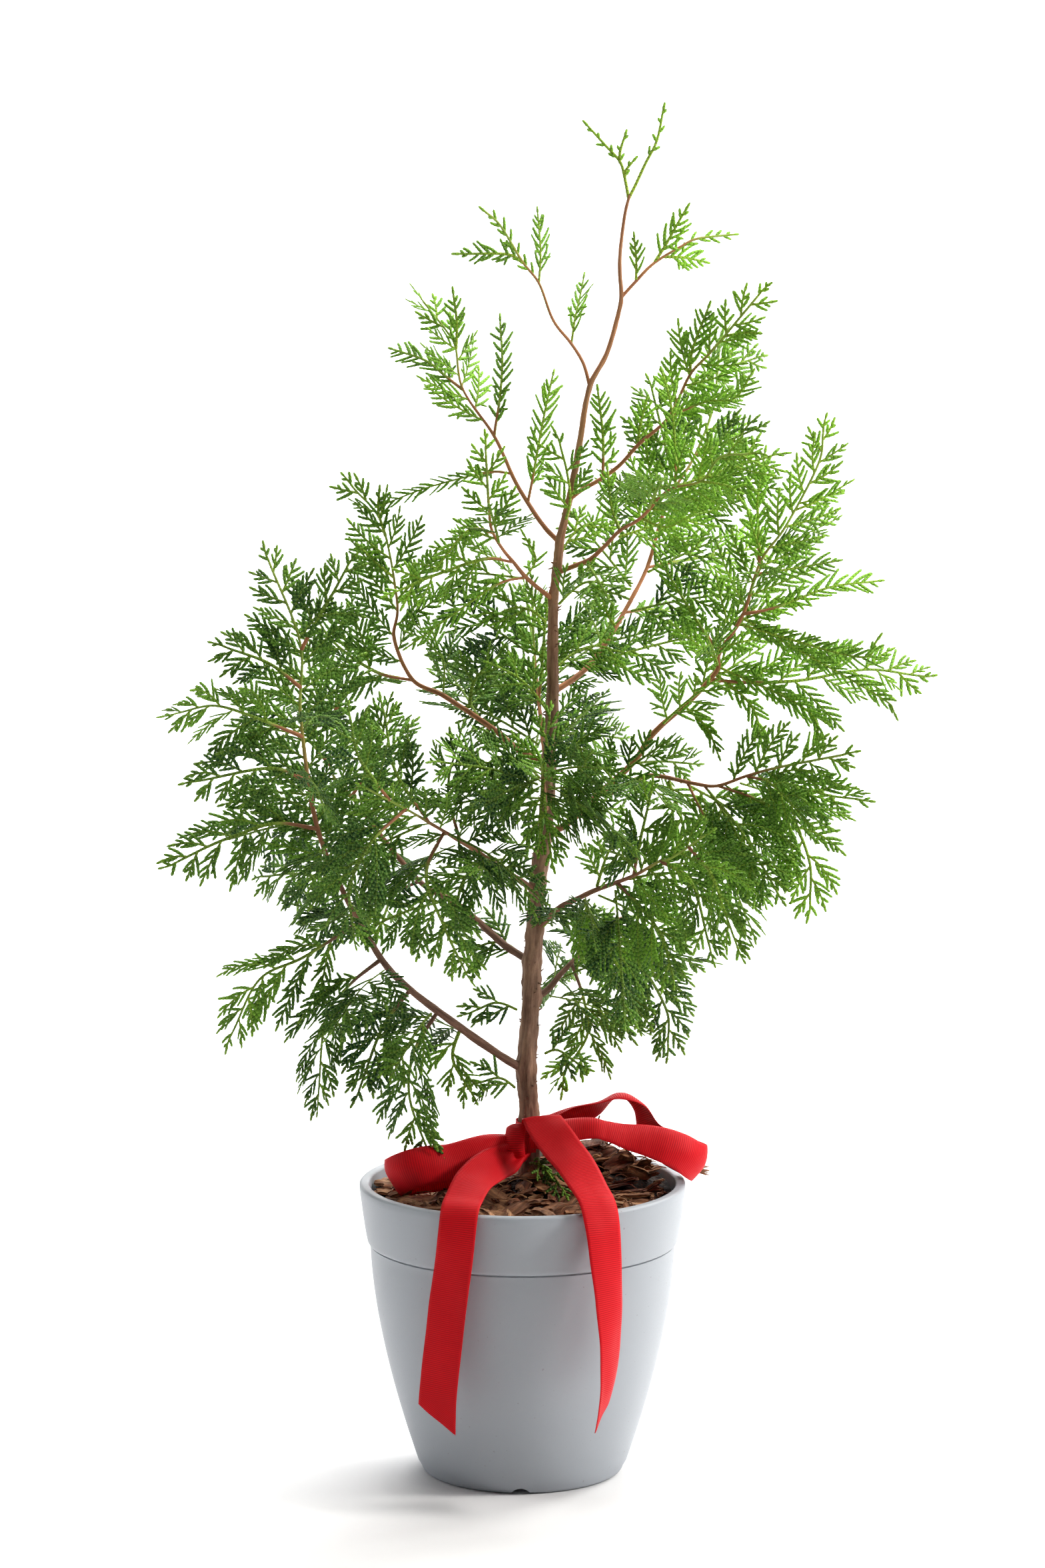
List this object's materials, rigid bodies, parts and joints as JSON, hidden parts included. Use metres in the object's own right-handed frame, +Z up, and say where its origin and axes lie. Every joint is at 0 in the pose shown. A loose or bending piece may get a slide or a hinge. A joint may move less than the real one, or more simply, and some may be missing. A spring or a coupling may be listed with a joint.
{
  "type": "artificial tabletop tree",
  "caption": "Small potted evergreen tabletop tree with a thin trunk, bendable branches of flat scale-leaf sprays, a round tapered pot and a ribbon bow at the trunk's foot.",
  "frame": {"origin": "centre of the pot's flat base, on the surface it stands on", "axes": "+Z up along the pot's axis; +Y away from the viewer, so the bow is on the -Y side; +X to the viewer's right"},
  "size_m": [0.4682, 0.2962, 0.8752],
  "materials": {
    "pot": "smooth matte pale grey, softly mottled",
    "ballast": "rough grey filler",
    "soil": "dark crumbly",
    "bark": "raw red-brown bark chips",
    "trunk": "fibrous stringy bark",
    "steel": "drawn rod",
    "stem": "orange-brown twig",
    "foliage": "satin green scale leaves",
    "ribbon": "red ribbed grosgrain"
  },
  "bodies": {
    "pot": {"pot": "pot"},
    "tree": {"trunk": "trunk", "trunk_core": "steel", "ballast_plug": "ballast", "soil_layer": "soil", "bark_bed": "bark", "bark_chip_1": "bark", "bark_chip_2": "bark", "bark_chip_3": "bark", "bark_chip_4": "bark", "bark_chip_5": "bark", "bark_chip_6": "bark", "bark_fibre": "bark", "leader_twig_1": "foliage", "leader_twig_2": "foliage", "ribbon_knot": "ribbon", "ribbon_loop_left": "ribbon", "ribbon_loop_right": "ribbon", "ribbon_tail_left": "ribbon", "ribbon_tail_right": "ribbon", "ribbon_wrap": "ribbon", "root_loop": "bark", "trunk_sprig_1": "foliage", "trunk_sprig_2": "foliage", "trunk_sprig_3": "foliage"},
    "low_left": {"low_left_stem": "stem", "low_left_spray": "foliage"},
    "back_left": {"back_left_stem": "stem", "back_left_spray": "foliage"},
    "front_left": {"front_left_stem": "stem", "front_left_spray": "foliage"},
    "mid_left": {"mid_left_stem": "stem", "mid_left_spray": "foliage"},
    "front_left_upper": {"front_left_upper_stem": "stem", "front_left_upper_spray": "foliage"},
    "upper_left": {"upper_left_stem": "stem", "upper_left_spray": "foliage"},
    "top_left": {"top_left_stem": "stem", "top_left_spray": "foliage"},
    "top_right": {"top_right_stem": "stem", "top_right_spray": "foliage"},
    "upper_right": {"upper_right_stem": "stem", "upper_right_spray": "foliage"},
    "front_right_upper": {"front_right_upper_stem": "stem", "front_right_upper_spray": "foliage"},
    "back_right_upper": {"back_right_upper_stem": "stem", "back_right_upper_spray": "foliage"},
    "right": {"right_stem": "stem", "right_spray": "foliage"},
    "front_right_low": {"front_right_low_stem": "stem", "front_right_low_spray": "foliage"},
    "back_right_low": {"back_right_low_stem": "stem", "back_right_low_spray": "foliage"},
    "front": {"front_stem": "stem", "front_spray": "foliage"},
    "back": {"back_stem": "stem", "back_spray": "foliage"},
    "right_fork": {"right_fork_stem": "stem", "right_fork_spray": "foliage"}
  },
  "joints": [
    {"name": "tree_lift", "type": "slide", "parent": "pot", "child": "tree", "axis": [0, 0, 1], "range_m": [0, 0.21]},
    {"name": "low_left_bend", "type": "hinge", "parent": "tree", "child": "low_left", "pos_m": [0.003, 0, 0.262], "axis": [0.342, -0.9397, 0], "range_deg": [-8, 6]},
    {"name": "back_left_bend", "type": "hinge", "parent": "tree", "child": "back_left", "pos_m": [0.0066, 0, 0.332], "axis": [-0.5736, -0.8192, 0], "range_deg": [-12, 12]},
    {"name": "front_left_bend", "type": "hinge", "parent": "tree", "child": "front_left", "pos_m": [0.00934, 0, 0.378], "axis": [0.766, -0.6428, 0], "range_deg": [-12, 12]},
    {"name": "mid_left_bend", "type": "hinge", "parent": "tree", "child": "mid_left", "pos_m": [0.01667, 0, 0.46], "axis": [-0.2588, -0.9659, 0], "range_deg": [-12, 12]},
    {"name": "front_left_upper_bend", "type": "hinge", "parent": "tree", "child": "front_left_upper", "pos_m": [0.01993, 0, 0.566], "axis": [0.6428, -0.766, 0], "range_deg": [-10, 12]},
    {"name": "upper_left_bend", "type": "hinge", "parent": "tree", "child": "upper_left", "pos_m": [0.02378, 0, 0.602], "axis": [-0.4226, -0.9063, 0], "range_deg": [-15, 12]},
    {"name": "top_left_bend", "type": "hinge", "parent": "tree", "child": "top_left", "pos_m": [0.0425, 0, 0.701], "axis": [0.5, -0.866, 0], "range_deg": [-20, 20]},
    {"name": "top_right_bend", "type": "hinge", "parent": "tree", "child": "top_right", "pos_m": [0.06183, 0, 0.757], "axis": [-0.342, 0.9397, 0], "range_deg": [-8, 15]},
    {"name": "upper_right_bend", "type": "hinge", "parent": "tree", "child": "upper_right", "pos_m": [0.02957, 0, 0.63], "axis": [0.342, 0.9397, 0], "range_deg": [-3, 12]},
    {"name": "front_right_upper_bend", "type": "hinge", "parent": "tree", "child": "front_right_upper", "pos_m": [0.02167, 0, 0.583], "axis": [0.6691, 0.7431, 0], "range_deg": [-10, 12]},
    {"name": "back_right_upper_bend", "type": "hinge", "parent": "tree", "child": "back_right_upper", "pos_m": [0.019, 0, 0.507], "axis": [-0.766, 0.6428, 0], "range_deg": [-12, 12]},
    {"name": "right_bend", "type": "hinge", "parent": "tree", "child": "right", "pos_m": [0.0136, 0, 0.416], "axis": [0.1736, 0.9848, 0], "range_deg": [-7, 8]},
    {"name": "front_right_low_bend", "type": "hinge", "parent": "tree", "child": "front_right_low", "pos_m": [0.00774, 0, 0.353], "axis": [0.766, 0.6428, 0], "range_deg": [-6, 10]},
    {"name": "back_right_low_bend", "type": "hinge", "parent": "tree", "child": "back_right_low", "pos_m": [0.0054, 0, 0.308], "axis": [-0.6428, 0.766, 0], "range_deg": [-8, 10]},
    {"name": "front_bend", "type": "hinge", "parent": "tree", "child": "front", "pos_m": [0.015, 0, 0.43], "axis": [0.9994, -0.0349, 0], "range_deg": [-10, 12]},
    {"name": "back_bend", "type": "hinge", "parent": "tree", "child": "back", "pos_m": [0.0164, 0, 0.452], "axis": [-0.9945, -0.1045, 0], "range_deg": [-10, 12]},
    {"name": "right_fork_bend", "type": "hinge", "parent": "right", "child": "right_fork", "pos_m": [0.05683, -0.00762, 0.44362], "axis": [0.5, 0.866, 0], "range_deg": [-10, 12]}
  ]
}
